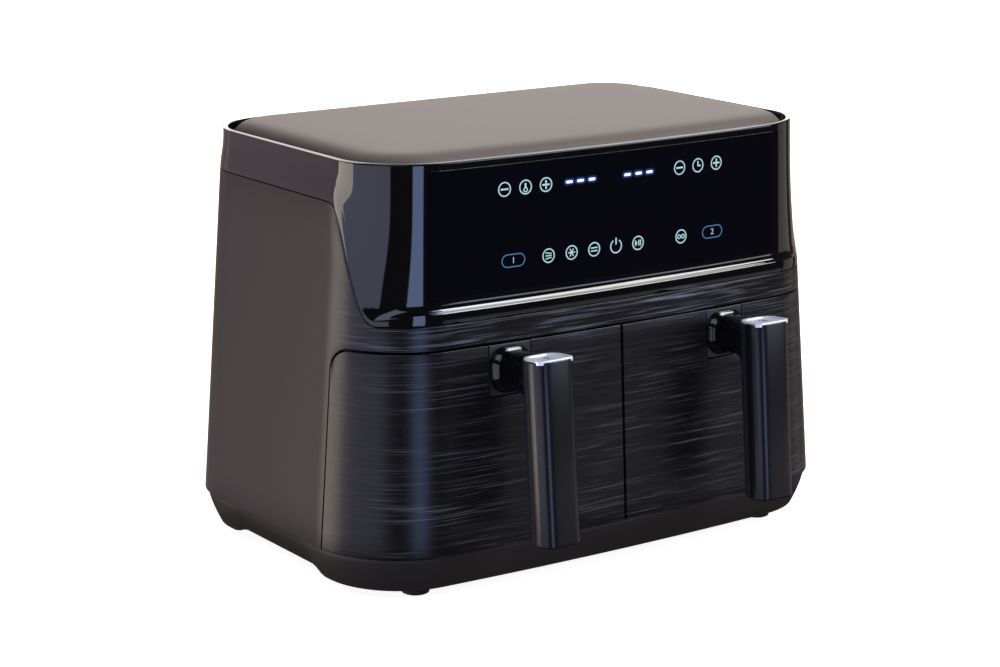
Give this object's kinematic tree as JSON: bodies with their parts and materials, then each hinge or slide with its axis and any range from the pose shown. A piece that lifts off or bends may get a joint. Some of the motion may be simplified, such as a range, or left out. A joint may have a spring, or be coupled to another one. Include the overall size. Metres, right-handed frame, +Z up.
{
  "type": "air fryer",
  "caption": "Twin-drawer air fryer with a tapered rounded body, sloping gloss touch control housing, pull-out pans with upright handles, fans and heaters inside.",
  "frame": {"origin": "floor level under the middle of the footprint, handles included", "axes": "+Z up, +X to the right seen from the front, the front with the handles faces -Y"},
  "size_m": [0.39, 0.3132, 0.2808],
  "materials": {
    "plinth": "fine matt texture",
    "rubber": "matt",
    "shell": "dark tinted, horizontally brushed",
    "rear_sheet": "dark satin",
    "inner_plastic": "matt",
    "gloss_black": "high gloss",
    "touch_lens": "mirror gloss",
    "lid": "satin",
    "inlet": "matt",
    "liner_sheet": "mill finish sheet",
    "heater": "heat-darkened",
    "motor": "satin",
    "board": "solder mask",
    "steel": "bright",
    "ceramic": "unglazed",
    "ptfe": "waxy",
    "nonstick": "nonstick satin coating",
    "silicone": "matt",
    "handle_cap": "satin silver",
    "plunger": "matt"
  },
  "bodies": {
    "housing": {"base_tray": "plinth", "rubber_feet": "rubber", "side_shell": "shell", "rear_panel": "rear_sheet", "front_frame": "inner_plastic", "control_housing": "gloss_black", "touch_panel": "touch_lens", "top_cover": "lid", "rear_grilles": "inner_plastic", "cable_inlet": "inlet", "left_cavity_liner": "liner_sheet", "right_cavity_liner": "liner_sheet", "left_heat_reflector": "liner_sheet", "right_heat_reflector": "liner_sheet", "left_heating_element": "heater", "right_heating_element": "heater", "left_fan_motor": "motor", "right_fan_motor": "motor", "motor_deck": "liner_sheet", "deck_posts": "liner_sheet", "board_bracket": "liner_sheet", "control_board": "board", "touch_springs": "steel", "power_board": "board", "thermal_cutouts": "ceramic", "temperature_probes": "steel", "left_drawer_switch": "inner_plastic", "right_drawer_switch": "inner_plastic", "drawer_runners": "ptfe", "housing_screws": "steel"},
    "left_drawer": {"left_drawer_front": "shell", "left_drawer_backing": "inner_plastic", "left_pan": "nonstick", "left_handle_plate": "gloss_black", "left_handle_neck": "gloss_black", "left_handle_core": "gloss_black", "left_handle_cover": "gloss_black", "left_handle_cap": "handle_cap", "left_handle_screws": "steel"},
    "left_plate": {"left_crisper_plate": "nonstick", "left_plate_feet": "silicone"},
    "left_fan": {"left_fan_shaft": "steel", "left_hot_fan": "liner_sheet", "left_cooling_fan": "liner_sheet"},
    "left_switch": {"left_switch_plunger": "plunger"},
    "right_drawer": {"right_drawer_front": "shell", "right_drawer_backing": "inner_plastic", "right_pan": "nonstick", "right_handle_plate": "gloss_black", "right_handle_neck": "gloss_black", "right_handle_core": "gloss_black", "right_handle_cover": "gloss_black", "right_handle_cap": "handle_cap", "right_handle_screws": "steel"},
    "right_plate": {"right_crisper_plate": "nonstick", "right_plate_feet": "silicone"},
    "right_fan": {"right_fan_shaft": "steel", "right_hot_fan": "liner_sheet", "right_cooling_fan": "liner_sheet"},
    "right_switch": {"right_switch_plunger": "plunger"}
  },
  "joints": [
    {"name": "left_drawer_slide", "type": "slide", "parent": "housing", "child": "left_drawer", "axis": [0, -1, 0], "range_m": [0, 0.235]},
    {"name": "left_plate_lift", "type": "slide", "parent": "left_drawer", "child": "left_plate", "axis": [0, 0, 1], "range_m": [0, 0.09]},
    {"name": "left_fan_spin", "type": "hinge", "parent": "housing", "child": "left_fan", "pos_m": [-0.08656, 0.03649, 0.22], "axis": [0, 0, 1], "continuous": true},
    {"name": "left_switch_press", "type": "slide", "parent": "housing", "child": "left_switch", "axis": [0, 1, 0], "range_m": [0, 0.001], "stiffness_N_per_m": 400, "springref_m": -0.002},
    {"name": "right_drawer_slide", "type": "slide", "parent": "housing", "child": "right_drawer", "axis": [0, -1, 0], "range_m": [0, 0.235]},
    {"name": "right_plate_lift", "type": "slide", "parent": "right_drawer", "child": "right_plate", "axis": [0, 0, 1], "range_m": [0, 0.09]},
    {"name": "right_fan_spin", "type": "hinge", "parent": "housing", "child": "right_fan", "pos_m": [0.08656, 0.03649, 0.22], "axis": [0, 0, 1], "continuous": true},
    {"name": "right_switch_press", "type": "slide", "parent": "housing", "child": "right_switch", "axis": [0, 1, 0], "range_m": [0, 0.001], "stiffness_N_per_m": 400, "springref_m": -0.002}
  ]
}
